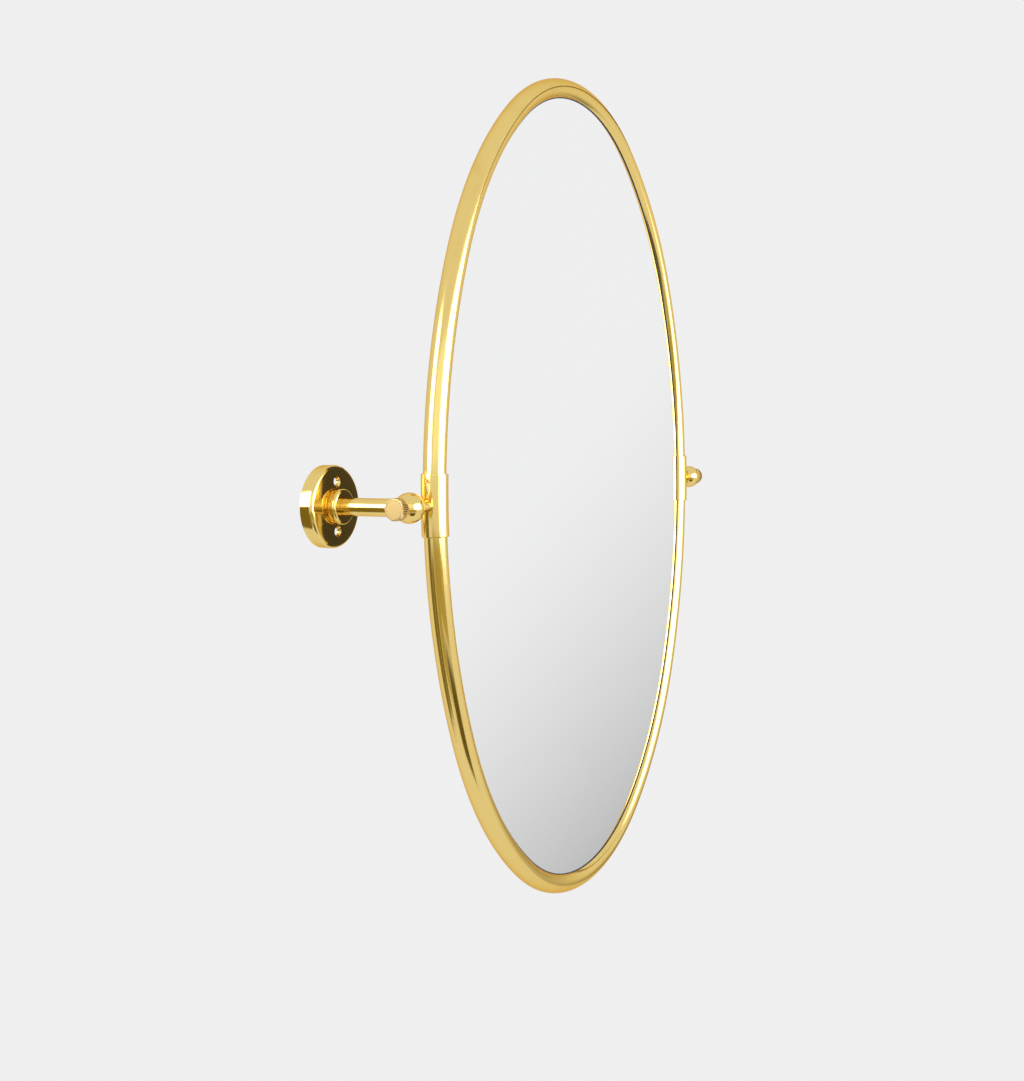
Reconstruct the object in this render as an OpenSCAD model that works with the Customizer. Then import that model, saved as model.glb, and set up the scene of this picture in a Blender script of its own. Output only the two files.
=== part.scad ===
// Oval wall mirror that tilts between two fixed brackets.
// X runs along the wall, Y points into the wall and Z is up. The wall is the plane Y = 0.
// The origin is on the wall, midway between the two brackets, at the height of the pivots.

/* [Mirror frame] */
// Width of the oval frame, over its tube
frame_w = 500; // [400:1:620]
// Height of the oval frame, over its tube
frame_h = 700; // [580:1:860]
// Outside diameter of the frame tube
frame_tube_d = 17; // [14:0.1:21]
// Wall thickness of the frame tube
frame_tube_wall = 1.5; // [1.2:0.1:2]
// Radius of the oval's side arcs, as a share of the radius of a true ellipse there
side_roundness = 0.96; // [0.9:0.01:1]
// Angle where the side arc meets the shoulder arc, in degrees
side_arc_angle = 24; // [20:1:28]
// Angle where the shoulder arc meets the top arc, in degrees
shoulder_arc_angle = 54; // [50:1:60]

/* [Glass] */
// Thickness of the mirror glass
glass_t = 4; // [3:0.1:5]
// Thickness of the backing board
backing_t = 2.5; // [1.5:0.1:3]
// Thickness of the rubber channel round the glass
gasket_t = 0.75; // [0.5:0.05:1]
// Width of rubber that shows between the tube and the glass
gasket_lip = 0.8; // [0.4:0.1:1.5]
// How far the edge of the glass stays inside the centre line of the tube
glass_edge_inset = 3.5; // [3:0.1:4.5]

/* [Side sleeves] */
// Length of the sleeve that joins the two halves of the frame
sleeve_len = 45.4; // [38:0.1:56]
// Wall thickness of the sleeve
sleeve_wall = 1.45; // [1.2:0.05:2]
// Length of the spigot inside the tubes
spigot_len = 60; // [50:1:80]
// Diameter of the grub screw that locks the upper tube
grub_d = 4; // [3:0.1:5]
// Distance from the sleeve's upper end to the middle of the grub screw
grub_end_gap = 5.2; // [3.5:0.1:7]
// Width across the flats of the grub screw's socket
grub_socket = 2; // [1.5:0.1:2.5]

/* [Pivots] */
// Distance from the frame's side to the middle of each pivot ball
pivot_reach = 26; // [22:0.5:40]
// Distance from the wall to the pivot axis
wall_gap = 72; // [60:1:90]
// Diameter of the pivot ball
ball_d = 22; // [19:0.1:27]
// Depth of the flats on the two sides of the ball
ball_flat_depth = 1; // [0.6:0.1:1.4]
// Diameter of the pin's shoulder, between the sleeve and the ball
shoulder_d = 8; // [7:0.1:10]
// Diameter of the pin where it turns in the ball
journal_d = 6; // [5.4:0.1:6.6]
// Diameter of the pin's threaded end
stud_d = 5; // [4:0.1:5.2]
// Diameter of the washers beside the ball
washer_d = 9.6; // [9:0.1:12]
// Thickness of the washers beside the ball
washer_t = 0.95; // [0.8:0.05:1.5]

/* [Thumb nuts] */
// Diameter of the knurled head
knob_d = 16; // [14:0.1:20]
// Thickness of the knurled head
knob_t = 7.5; // [6:0.1:9]
// Diameter of the plain collar under the head
knob_collar_d = 10; // [9:0.1:12]
// Length of the plain collar under the head
knob_collar_len = 1.5; // [1:0.1:3]
// Thickness of the closed face of the nut
knob_face_t = 2; // [1.5:0.1:2.5]
// Gap between the pin's tip and the end of the nut's bore
knob_tip_gap = 1; // [0.5:0.1:1.5]
// Chamfer at the edges of the head
knob_chamfer = 0.6; // [0.3:0.1:1]

/* [Arms] */
// Outside diameter of the arm tube
arm_d = 13; // [11:0.1:16]
// Wall thickness of the arm tube
arm_wall = 1.5; // [1.2:0.1:2]
// Length of the ball's spigot inside the arm tube
ball_spigot_len = 12; // [8:0.5:20]
// Distance from the wall to the arm's end
arm_end_gap = 1.5; // [1:0.1:2]
// How far the collar stands out of the arm, all round
collar_w = 6.5; // [5:0.1:8]
// Length of the collar along the arm
collar_len = 6.5; // [6:0.1:10]
// Radius of the collar's front edge
collar_edge_r = 2.2; // [1:0.1:2.6]
// Radius of the hollow round the collar's foot
collar_waist_r = 2.9; // [2:0.1:3]
// Thickness of the lock nut inside the wall rose
lock_nut_t = 5; // [4:0.1:5.5]
// Thickness of the washer under the lock nut
lock_washer_t = 1; // [0.6:0.1:1.2]

/* [Wall roses] */
// Diameter of the wall rose
rose_d = 60; // [50:1:74]
// Depth of the wall rose
rose_t = 11.5; // [11.5:0.1:15]
// Thickness of the rose's front
rose_front_t = 2.5; // [2:0.1:2.5]
// Thickness of the rose's rim
rose_wall = 2.2; // [1.6:0.1:3]
// Radius of the rose's front edge
rose_edge_r = 3; // [1:0.1:3]
// Gap between the arm's collar and the edge of each countersink
countersink_gap = 0.8; // [0.4:0.1:2]
// Diameter of the screw holes
screw_d = 5; // [4:0.1:5.5]
// Diameter of the countersinks
countersink_d = 8.4; // [7:0.1:9]

/* [Fits] */
// Gap all round a shaft that turns or slides in its hole
running_gap = 0.05; // [0.02:0.01:0.1]
// Gap all round a piece that is fixed in its hole
fixed_gap = 0.05; // [0.02:0.01:0.15]
// Gap between the ends of the two frame tubes
tube_end_gap = 0.5; // [0.2:0.1:1]

/* [Hidden] */
$fn = 96;

// how far a cutting shape reaches past the face that it cuts
over = 1;

// frame tube: radii of its section, and half sizes of its centre line
tube_r = frame_tube_d / 2;
bore_r = tube_r - frame_tube_wall;
half_w = frame_w / 2 - tube_r;
half_h = frame_h / 2 - tube_r;

// the oval's quarter is three arcs that meet tangent to each other
side_r = side_roundness * half_h * half_h / half_w;
c1 = cos(side_arc_angle);
s1 = sin(side_arc_angle);
c2 = cos(shoulder_arc_angle);
s2 = sin(shoulder_arc_angle);
need_x = side_r * (1 - c1) - half_w;
need_z = half_h - side_r * s1;
det = (c2 - c1) * (1 - s2) + c2 * (s2 - s1);
shoulder_r = (need_x * (1 - s2) + c2 * need_z) / det;
top_r = ((c2 - c1) * need_z - (s2 - s1) * need_x) / det;
side_c = [half_w - side_r, 0];
shoulder_c = side_c + (side_r - shoulder_r) * [c1, s1];
top_c = [0, half_h - top_r];

// gap all round the pin where it passes between the ends of the tubes
tube_notch_gap = 0.2;

// width of the rim that is swept round a plate's core; deeper than any arc bulges past its chord
plate_rim = 40;

// the pack of board, glass and rubber that sits in the tube's slot
pack_t = glass_t + backing_t;
slot_w = pack_t + 2 * gasket_t;
glass_front_y = -wall_gap - pack_t / 2;
rubber_edge_inset = glass_edge_inset - gasket_t;
slot_lip_inset = sqrt(tube_r * tube_r - slot_w * slot_w / 4) + gasket_lip;

// sleeve and spigot follow the side arc
sleeve_bore_r = tube_r + fixed_gap;
sleeve_r = sleeve_bore_r + sleeve_wall;
spigot_r = bore_r - fixed_gap;
spigot_flat_inset = rubber_edge_inset - fixed_gap;
sleeve_angle = asin(sleeve_len / 2 / side_r);
spigot_angle = asin(spigot_len / 2 / side_r);
grub_z = sleeve_len / 2 - grub_end_gap;

// places along the pivot axis, counted outwards from the middle of the ball
ball_r = ball_d / 2;
ball_flat = ball_r - ball_flat_depth;
washer_seat = ball_flat + running_gap;
washer_outer = washer_seat + washer_t;
knob_shoulder = washer_outer + knob_collar_len;
knob_outer = knob_shoulder + knob_t;
knob_bore_end = knob_outer - knob_face_t;
stud_tip = knob_bore_end - knob_tip_gap;
journal_end = ball_flat - 4 * running_gap;

// places counted outwards from the middle of the object
pivot_x = frame_w / 2 + pivot_reach;
saddle_x = half_w + sqrt(sleeve_r * sleeve_r - shoulder_d * shoulder_d / 4);
pin_root_x = half_w - rubber_edge_inset / 2;

// arm and rose
spigot_overlap = 2;
lock_washer_w = 3.5;
lock_nut_w = 3;
arm_bore_r = arm_d / 2 - arm_wall;
arm_start = sqrt(ball_r * ball_r - arm_d * arm_d / 4);
collar_r = arm_d / 2 + collar_w;
lock_washer_r = arm_d / 2 + lock_washer_w;
lock_nut_flats = arm_d + 2 * lock_nut_w;
screw_r = screw_d / 2;
sink_r = countersink_d / 2;
screw_z = collar_r + countersink_gap + sink_r;

brass = "goldenrod";
bright_brass = "gold";

// puts a piece that is made for the right side on the side asked for: 1 right, -1 left
module on_side(side) {
    if (side > 0) {
        children();
    } else {
        mirror([1, 0, 0]) children();
    }
}

// turns a shape made along Z so that it lies along X, its base at x, on the pivot axis
module along_axis(x) {
    translate([x, -wall_gap, 0]) rotate([0, 90, 0]) children();
}

// turns a profile of radius against height into a solid round the arm, with its height
// measured from the plane Y = y towards the room
module round_arm(y) {
    translate([pivot_x, y, 0]) rotate([90, 0, 0]) rotate_extrude() children();
}

// moves by whole millimetres, then thousandths, then the rest, so that neighbouring arcs meet
// exactly even where the three numbers are rounded one by one
module move_exactly(v) {
    whole = [for (x = v) round(x)];
    part = [for (i = [0:2]) round(1000 * (v[i] - whole[i])) / 1000];
    translate(whole) translate(part) translate(v - whole - part) children();
}

// sweeps a section round one arc; the section's X points away from the oval's middle, and its
// Y towards the room
module sweep_arc(centre, radius, from, to) {
    move_exactly([centre[0], -wall_gap, centre[1]])
        rotate([90, 0, 0])
            rotate_extrude(start = from, angle = to - from, $fn = 360)
                move_exactly([radius, 0, 0]) children();
}

// sweeps a section round the upper half of the oval, from one side arc's start to the other's
module sweep_upper_half(from) {
    for (side = [1, -1]) {
        on_side(side) {
            sweep_arc(side_c, side_r, from, side_arc_angle) children();
            sweep_arc(shoulder_c, shoulder_r, side_arc_angle, shoulder_arc_angle) children();
        }
    }
    sweep_arc(top_c, top_r, shoulder_arc_angle, 180 - shoulder_arc_angle) children();
}

// sweeps a section round the whole oval
module sweep_oval() {
    sweep_upper_half(-side_arc_angle) children();
    for (side = [1, -1]) {
        on_side(side) mirror([0, 0, 1])
            sweep_arc(shoulder_c, shoulder_r, side_arc_angle, shoulder_arc_angle) children();
    }
    mirror([0, 0, 1])
        sweep_arc(top_c, top_r, shoulder_arc_angle, 180 - shoulder_arc_angle) children();
}

// the part of a section that lies inwards of an inset from the tube's centre line
module inner_strip(inset, width) {
    translate([-2 * tube_r - inset, -width / 2]) square([2 * tube_r, width]);
}

module tube_section() {
    difference() {
        circle(tube_r);
        circle(bore_r);
        inner_strip(0, slot_w);
    }
}

module half_frame() {
    difference() {
        sweep_upper_half(0) tube_section();
        for (side = [1, -1]) {
            on_side(side) along_axis(half_w) cylinder(r = journal_d / 2 + tube_notch_gap, h = 2 * tube_r);
        }
        translate([-frame_w, -wall_gap - frame_tube_d, -frame_tube_d])
            cube([2 * frame_w, 2 * frame_tube_d, frame_tube_d + tube_end_gap / 2]);
    }
}

// an oval plate whose front is at Y = front_y, its edge inset from the tube's centre line; a
// flat core fills the middle, and its corners lie half-way across the swept rim
module oval_plate(inset, front_y, thickness) {
    side_corner = side_c + (side_r - inset - plate_rim / 2) * [c1, s1];
    shoulder_corner = shoulder_c + (shoulder_r - inset - plate_rim / 2) * [c2, s2];
    top_corner = [0, half_h - inset - plate_rim / 2];
    side_point = [half_w - inset - plate_rim / 2, 0];
    translate([0, wall_gap + front_y + thickness, 0])
        sweep_oval() translate([-inset - plate_rim, 0]) square([plate_rim, thickness]);
    translate([0, front_y + thickness, 0]) rotate([90, 0, 0]) linear_extrude(thickness)
        polygon([
            top_corner, shoulder_corner, side_corner, side_point,
            [side_corner[0], -side_corner[1]], [shoulder_corner[0], -shoulder_corner[1]],
            -top_corner, -shoulder_corner, -side_corner, -side_point,
            [-side_corner[0], side_corner[1]], [-shoulder_corner[0], shoulder_corner[1]]
        ]);
}

module frame_tube_upper() {
    color(brass) difference() {
        half_frame();
        for (side = [1, -1]) {
            on_side(side) along_axis(half_w) translate([-grub_z, 0, 0])
                cylinder(r = grub_d / 2 + fixed_gap, h = 2 * tube_r);
        }
    }
}

module frame_tube_lower() {
    color(brass) mirror([0, 0, 1]) half_frame();
}

module mirror_glass() {
    color("lightblue") oval_plate(glass_edge_inset, glass_front_y, glass_t);
}

module backing_board() {
    color("dimgray") oval_plate(glass_edge_inset, glass_front_y + glass_t, backing_t);
}

module glazing_gasket() {
    color("black") sweep_oval() difference() {
        translate([-slot_lip_inset, -slot_w / 2])
            square([slot_lip_inset - rubber_edge_inset, slot_w]);
        inner_strip(glass_edge_inset, pack_t);
    }
}

module frame_sleeve(side) {
    color(brass) on_side(side) difference() {
        sweep_arc(side_c, side_r, -sleeve_angle, sleeve_angle)
            difference() {
                circle(sleeve_r);
                circle(sleeve_bore_r);
                inner_strip(0, slot_w);
            }
        along_axis(half_w) cylinder(r = journal_d / 2 + fixed_gap, h = 2 * sleeve_r);
        along_axis(saddle_x) cylinder(r = shoulder_d / 2 + fixed_gap, h = sleeve_r);
        along_axis(half_w) translate([-grub_z, 0, 0])
            cylinder(r = grub_d / 2 + fixed_gap, h = 2 * sleeve_r);
    }
}

module joint_spigot(side) {
    color(brass) on_side(side) difference() {
        sweep_arc(side_c, side_r, -spigot_angle, spigot_angle)
            difference() {
                circle(spigot_r);
                inner_strip(spigot_flat_inset, 2 * tube_r);
            }
        along_axis(half_w - tube_r) cylinder(r = journal_d / 2 + fixed_gap, h = 2 * tube_r);
    }
}

module sleeve_screw(side) {
    // the grub screw's lower edge bears on the spigot, which curves away above it, and its other
    // end is just inside the sleeve's surface
    spigot_outer_r = side_r + spigot_r;
    edge_z = grub_z - grub_d / 2;
    seat = side_c[0] + sqrt(spigot_outer_r * spigot_outer_r - edge_z * edge_z) + fixed_gap;
    len = sleeve_r - spigot_r - 4 * fixed_gap;
    color(brass) on_side(side) along_axis(seat) translate([-grub_z, 0, 0])
        difference() {
            cylinder(d = grub_d, h = len);
            translate([0, 0, len / 2])
                cylinder(d = grub_socket / cos(30), h = len, $fn = 6);
        }
}

module pivot_pin(side) {
    saddle = saddle_x - pin_root_x;
    shoulder = pivot_x - washer_outer - pin_root_x;
    journal = pivot_x + journal_end - pin_root_x;
    tip = pivot_x + stud_tip - pin_root_x;
    color(brass) on_side(side) along_axis(pin_root_x) rotate_extrude()
        polygon([
            [0, 0], [journal_d / 2, 0], [journal_d / 2, saddle], [shoulder_d / 2, saddle],
            [shoulder_d / 2, shoulder], [journal_d / 2, shoulder], [journal_d / 2, journal],
            [stud_d / 2, journal], [stud_d / 2, tip], [0, tip]
        ]);
}

module ring(x, outer_d, hole_r, thickness) {
    along_axis(x) difference() {
        cylinder(d = outer_d, h = thickness);
        translate([0, 0, -over]) cylinder(r = hole_r, h = thickness + 2 * over);
    }
}

module inner_washer(side) {
    color(brass) on_side(side)
        ring(pivot_x - washer_outer, washer_d, journal_d / 2 + running_gap, washer_t);
}

module outer_washer(side) {
    color(brass) on_side(side)
        ring(pivot_x + washer_seat, washer_d, stud_d / 2 + running_gap, washer_t);
}

module thumb_nut(side) {
    collar_r = knob_collar_d / 2;
    head_r = knob_d / 2;
    end = knob_collar_len + knob_t;
    color(bright_brass) on_side(side) along_axis(pivot_x + washer_outer)
        difference() {
            rotate_extrude() polygon([
                [0, 0], [collar_r, 0], [collar_r, knob_collar_len],
                [head_r - knob_chamfer, knob_collar_len],
                [head_r, knob_collar_len + knob_chamfer],
                [head_r, end - knob_chamfer], [head_r - knob_chamfer, end], [0, end]
            ]);
            translate([0, 0, -over])
                cylinder(r = stud_d / 2 + running_gap, h = end - knob_face_t + over);
        }
}

module pivot_ball(side) {
    // flats for the washers, a seat for the arm, and a spigot that fits the arm's bore
    color(bright_brass) on_side(side) {
        difference() {
            along_axis(pivot_x) rotate_extrude()
                intersection() {
                    circle(ball_r);
                    translate([journal_d / 2 + running_gap, -ball_flat])
                        square([ball_r, 2 * ball_flat]);
                }
            translate([pivot_x - ball_r, -wall_gap + arm_start, -ball_r])
                cube([ball_d, ball_r, ball_d]);
        }
        translate([pivot_x, -wall_gap + arm_start - spigot_overlap, 0]) rotate([-90, 0, 0])
            cylinder(r = arm_bore_r - fixed_gap, h = ball_spigot_len + spigot_overlap);
    }
}

module arm_tube(side) {
    color(brass) on_side(side) round_arm(-arm_end_gap)
        translate([arm_bore_r, 0]) square([arm_wall, wall_gap - arm_start - arm_end_gap]);
}

module arm_collar(side) {
    color(bright_brass) on_side(side) round_arm(-rose_t)
        difference() {
            union() {
                square([collar_r - collar_edge_r, collar_len]);
                square([collar_r, collar_len - collar_edge_r]);
                translate([collar_r - collar_edge_r, collar_len - collar_edge_r])
                    circle(collar_edge_r);
            }
            translate([collar_r + collar_waist_r / 10, 0]) circle(collar_waist_r);
            translate([-over, -over])
                square([arm_d / 2 + fixed_gap + over, collar_len + 2 * over]);
        }
}

module lock_washer(side) {
    color(brass) on_side(side) round_arm(-rose_t + rose_front_t + lock_washer_t)
        translate([arm_d / 2 + fixed_gap, 0])
            square([lock_washer_r - arm_d / 2 - fixed_gap, lock_washer_t]);
}

module lock_nut(side) {
    color(brass) on_side(side)
        translate([pivot_x, -rose_t + rose_front_t + lock_washer_t, 0]) rotate([-90, 0, 0])
            difference() {
                cylinder(d = lock_nut_flats / cos(30), h = lock_nut_t, $fn = 6);
                translate([0, 0, -over])
                    cylinder(r = arm_d / 2 + fixed_gap, h = lock_nut_t + 2 * over);
            }
}

module wall_rose(side) {
    r = rose_d / 2;
    color(bright_brass) on_side(side) difference() {
        round_arm(0)
            difference() {
                union() {
                    square([r - rose_edge_r, rose_t]);
                    square([r, rose_t - rose_edge_r]);
                    translate([r - rose_edge_r, rose_t - rose_edge_r]) circle(rose_edge_r);
                }
                translate([-over, -over])
                    square([r - rose_wall + over, rose_t - rose_front_t + over]);
                square([arm_d / 2 + fixed_gap, rose_t + over]);
            }
        for (up = [1, -1]) {
            translate([pivot_x, -rose_t, up * screw_z]) rotate([-90, 0, 0]) {
                translate([0, 0, -over]) cylinder(r = screw_r, h = rose_t);
                translate([0, 0, -over])
                    cylinder(r1 = sink_r + over, r2 = screw_r, h = sink_r - screw_r + over);
            }
        }
    }
}

wall_rose(-1);  // wall_rose_left
wall_rose(1);  // wall_rose_right
arm_collar(-1);  // arm_collar_left
arm_collar(1);  // arm_collar_right
arm_tube(-1);  // arm_tube_left
arm_tube(1);  // arm_tube_right
lock_washer(-1);  // lock_washer_left
lock_washer(1);  // lock_washer_right
lock_nut(-1);  // lock_nut_left
lock_nut(1);  // lock_nut_right
pivot_ball(-1);  // pivot_ball_left
pivot_ball(1);  // pivot_ball_right
thumb_nut(-1);  // thumb_nut_left
thumb_nut(1);  // thumb_nut_right
outer_washer(-1);  // outer_washer_left
outer_washer(1);  // outer_washer_right
inner_washer(-1);  // inner_washer_left
inner_washer(1);  // inner_washer_right
pivot_pin(-1);  // pivot_pin_left
pivot_pin(1);  // pivot_pin_right
frame_sleeve(-1);  // frame_sleeve_left
frame_sleeve(1);  // frame_sleeve_right
sleeve_screw(-1);  // sleeve_screw_left
sleeve_screw(1);  // sleeve_screw_right
joint_spigot(-1);  // joint_spigot_left
joint_spigot(1);  // joint_spigot_right
frame_tube_upper();
frame_tube_lower();
mirror_glass();
backing_board();
glazing_gasket();
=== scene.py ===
"""Oval wall mirror in brass that tilts between two fixed wall arms: its finished looks.

Every piece is turned, swept or cut in millimetres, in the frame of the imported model, and is then
handed over in metres in the place of the plain solid that it stands for.
"""

import logging
import math
from dataclasses import dataclass, field
from enum import Enum
from typing import Callable

import bmesh
import bpy
from mathutils import Matrix, Vector


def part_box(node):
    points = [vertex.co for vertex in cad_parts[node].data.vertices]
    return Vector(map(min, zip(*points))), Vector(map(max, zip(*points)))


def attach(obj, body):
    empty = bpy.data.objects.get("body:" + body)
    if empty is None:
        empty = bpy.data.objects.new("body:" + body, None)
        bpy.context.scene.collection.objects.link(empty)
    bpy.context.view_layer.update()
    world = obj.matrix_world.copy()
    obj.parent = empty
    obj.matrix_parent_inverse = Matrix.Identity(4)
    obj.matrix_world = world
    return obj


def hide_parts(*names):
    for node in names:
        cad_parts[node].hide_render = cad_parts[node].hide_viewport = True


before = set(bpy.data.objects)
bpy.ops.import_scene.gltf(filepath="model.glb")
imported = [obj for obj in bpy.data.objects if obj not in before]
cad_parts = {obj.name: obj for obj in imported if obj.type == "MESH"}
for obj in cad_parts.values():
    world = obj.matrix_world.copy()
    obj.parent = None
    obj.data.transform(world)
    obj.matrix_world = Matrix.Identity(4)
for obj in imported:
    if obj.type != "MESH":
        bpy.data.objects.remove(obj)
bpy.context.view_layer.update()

log = logging.getLogger("mirror")
MM = 0.001
AXIS_Y = -72.0  # the pivot axis and the oval's plane, along Y
CLEAR = 0.05  # the play of a pin in its hole
PIN, SHOULDER, THREAD, GRUB = 3.0, 4.0, 2.5, 2.0  # outer radii
PITCH = 0.8
GRAIN = "grain"
GROOVE = "groove"
GLOW = "glow"

GrainRule = Callable[[Vector], Vector]


class Side(Enum):
    """The two sides of the mirror, as seen from the room."""

    LEFT = -1
    RIGHT = 1

    @property
    def tag(self) -> str:
        """The ending of the names of this side's pieces."""
        return self.name.lower()


class Slot(Enum):
    """The material slots of the record."""

    SATIN = "satin_brass"
    POLISHED = "polished_brass"
    TURNED = "turned_brass"
    KNURLED = "knurled_brass"
    GLASS = "silvered_glass"
    BOARD = "backing_board"
    RUBBER = "black_rubber"


# ---------------------------------------------------------------- shader groups


class Wiring:
    """A shader's node tree under construction."""

    def __init__(self, tree: bpy.types.ShaderNodeTree) -> None:
        """Takes a tree on."""
        self.tree = tree

    def supply(self, node: bpy.types.Node, inputs: dict[str | int, object]) -> None:
        """Links or sets some of a node's inputs.

        Args:
            node: The node.
            inputs: A socket to link or a value to set, by the input's name or number.
        """
        for key, value in inputs.items():
            if isinstance(value, bpy.types.NodeSocket):
                self.tree.links.new(value, node.inputs[key])
            else:
                node.inputs[key].default_value = value

    def node(self, kind: str, inputs: dict[str | int, object], **settings: object) -> bpy.types.Node:
        """Adds a node.

        Args:
            kind: The node's type, without the word that all types start with.
            inputs: What its inputs are linked or set to.
            **settings: Its settings, by name.

        Returns:
            The new node.
        """
        made = self.tree.nodes.new("ShaderNode" + kind)
        for name, value in settings.items():
            setattr(made, name, value)
        self.supply(made, inputs)
        return made


class Group(Wiring):
    """A shader node group that takes and gives numbers."""

    def __init__(self, name: str, given: tuple[str, ...], **taken: float) -> None:
        """Starts a group.

        Args:
            name: The group's name.
            given: The names of its outputs.
            **taken: Its inputs, each with the value that it has where none is given.
        """
        super().__init__(bpy.data.node_groups.new(name, "ShaderNodeTree"))
        self.taken = self.tree.nodes.new("NodeGroupInput")
        self.given = self.tree.nodes.new("NodeGroupOutput")
        for key, value in taken.items():
            made = self.tree.interface.new_socket(key, in_out="INPUT", socket_type="NodeSocketFloat")
            made.default_value = value
        for key in given:
            self.tree.interface.new_socket(key, in_out="OUTPUT", socket_type="NodeSocketFloat")

    def finish(self, **results: bpy.types.NodeSocket) -> bpy.types.ShaderNodeTree:
        """Feeds the outputs and gives the finished group."""
        self.supply(self.given, results)
        return self.tree


def grain_group() -> bpy.types.ShaderNodeTree:
    """Builds the group for fine lines that follow the way a piece was drawn or turned.

    Returns:
        The node group, with a height for a bump and a shade from 0 to 1.
    """
    made = Group("fine_lines", ("Height", "Shade"), Across=2200.0, Along=18.0)
    across, along = made.taken.outputs["Across"], made.taken.outputs["Along"]
    place = made.node("Attribute", {}, attribute_name=GRAIN, attribute_type="GEOMETRY")
    scale = made.node("CombineXYZ", {"X": across, "Y": across, "Z": along})
    spread = made.node("VectorMath", {0: place.outputs["Vector"], 1: scale.outputs["Vector"]},
                       operation="MULTIPLY")
    lines = made.node("TexNoise", {"Vector": spread.outputs["Vector"], "Scale": 1.0,
                                   "Detail": 4.0, "Roughness": 0.65}, noise_dimensions="3D")
    shade = made.node("MapRange", {"Value": lines.outputs["Fac"], "From Min": 0.32,
                                   "From Max": 0.68})
    return made.finish(Height=lines.outputs["Fac"], Shade=shade.outputs["Result"])


def handling_group() -> bpy.types.ShaderNodeTree:
    """Builds the group for soft patches, such as handling marks and a thin tarnish.

    Returns:
        The node group, with a mask from 0 to 1.
    """
    made = Group("handling", ("Mask",), Size=30.0, Cover=0.5)
    place = made.node("TexCoord", {})
    cloud = made.node("TexNoise", {"Vector": place.outputs["Object"],
                                   "Scale": made.taken.outputs["Size"], "Detail": 5.0,
                                   "Roughness": 0.6, "Distortion": 0.6}, noise_dimensions="3D")
    start = made.node("Math", {0: 0.92, 1: made.taken.outputs["Cover"]}, operation="SUBTRACT")
    end = made.node("Math", {0: start.outputs[0], 1: 0.25}, operation="ADD")
    edge = made.node("MapRange", {"Value": cloud.outputs["Fac"], "From Min": start.outputs[0],
                                  "From Max": end.outputs[0]}, interpolation_type="SMOOTHSTEP")
    return made.finish(Mask=edge.outputs["Result"])


def edge_group() -> bpy.types.ShaderNodeTree:
    """Builds the group that finds the outer edges of a piece, which handling keeps bright.

    Returns:
        The node group, with a mask from 0 to 1.
    """
    level = 0.52
    made = Group("worn_edges", ("Mask",), Width=0.06)
    shape = made.node("NewGeometry", {})
    top = made.node("Math", {0: level, 1: made.taken.outputs["Width"]}, operation="ADD")
    edge = made.node("MapRange", {"Value": shape.outputs["Pointiness"], "From Min": level,
                                  "From Max": top.outputs[0]}, interpolation_type="SMOOTHSTEP")
    return made.finish(Mask=edge.outputs["Result"])


class Effects:
    """The shader groups that the finishes share, each made the first time that it is asked for."""

    makers = {"fine_lines": grain_group, "handling": handling_group, "worn_edges": edge_group}

    @classmethod
    def get(cls, name: str) -> bpy.types.ShaderNodeTree:
        """The group of that name."""
        return bpy.data.node_groups.get(name) or cls.makers[name]()


# ---------------------------------------------------------------- finishes


class Coat(Wiring):
    """A material under construction: one Principled shader and what feeds it."""

    def __init__(self, name: str) -> None:
        """Starts a material.

        Args:
            name: The material's name.
        """
        self.material = bpy.data.materials.new(name)
        self.material.use_nodes = True
        super().__init__(self.material.node_tree)
        self.shader = next(n for n in self.tree.nodes if n.type == "BSDF_PRINCIPLED")

    def effect(self, name: str, **values: float) -> bpy.types.Node:
        """Places a shared effect and sets its inputs."""
        return self.node("Group", values, node_tree=Effects.get(name))

    def blend(self, mask: bpy.types.NodeSocket, first: object, second: object) -> bpy.types.NodeSocket:
        """Mixes two colours, or sockets that give one, from the first at 0 to the second at 1."""
        ends = [v if isinstance(v, bpy.types.NodeSocket) else (*v, 1.0) for v in (first, second)]
        return self.node("Mix", {0: mask, 6: ends[0], 7: ends[1]}, data_type="RGBA").outputs[2]

    def spread(self, mask: bpy.types.NodeSocket, low: float, high: float) -> bpy.types.NodeSocket:
        """Turns a mask into a number from low to high."""
        return self.node("MapRange", {"Value": mask, "To Min": low, "To Max": high}).outputs["Result"]

    def sum(self, first: bpy.types.NodeSocket, second: bpy.types.NodeSocket) -> bpy.types.NodeSocket:
        """Adds two numbers and keeps the result from 0 to 1."""
        return self.node("Math", {0: first, 1: second}, operation="ADD", use_clamp=True).outputs[0]

    def relief(self, height: bpy.types.NodeSocket, strength: float, depth: float) -> None:
        """Gives the surface a fine relief, its full depth in metres."""
        bump = self.node("Bump", {"Strength": strength, "Distance": depth, "Height": height})
        self.supply(self.shader, {"Normal": bump.outputs["Normal"]})

    def finish(self, inputs: dict[str, object]) -> bpy.types.Material:
        """Feeds the shader and gives the finished material."""
        self.supply(self.shader, inputs)
        return self.material


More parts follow.
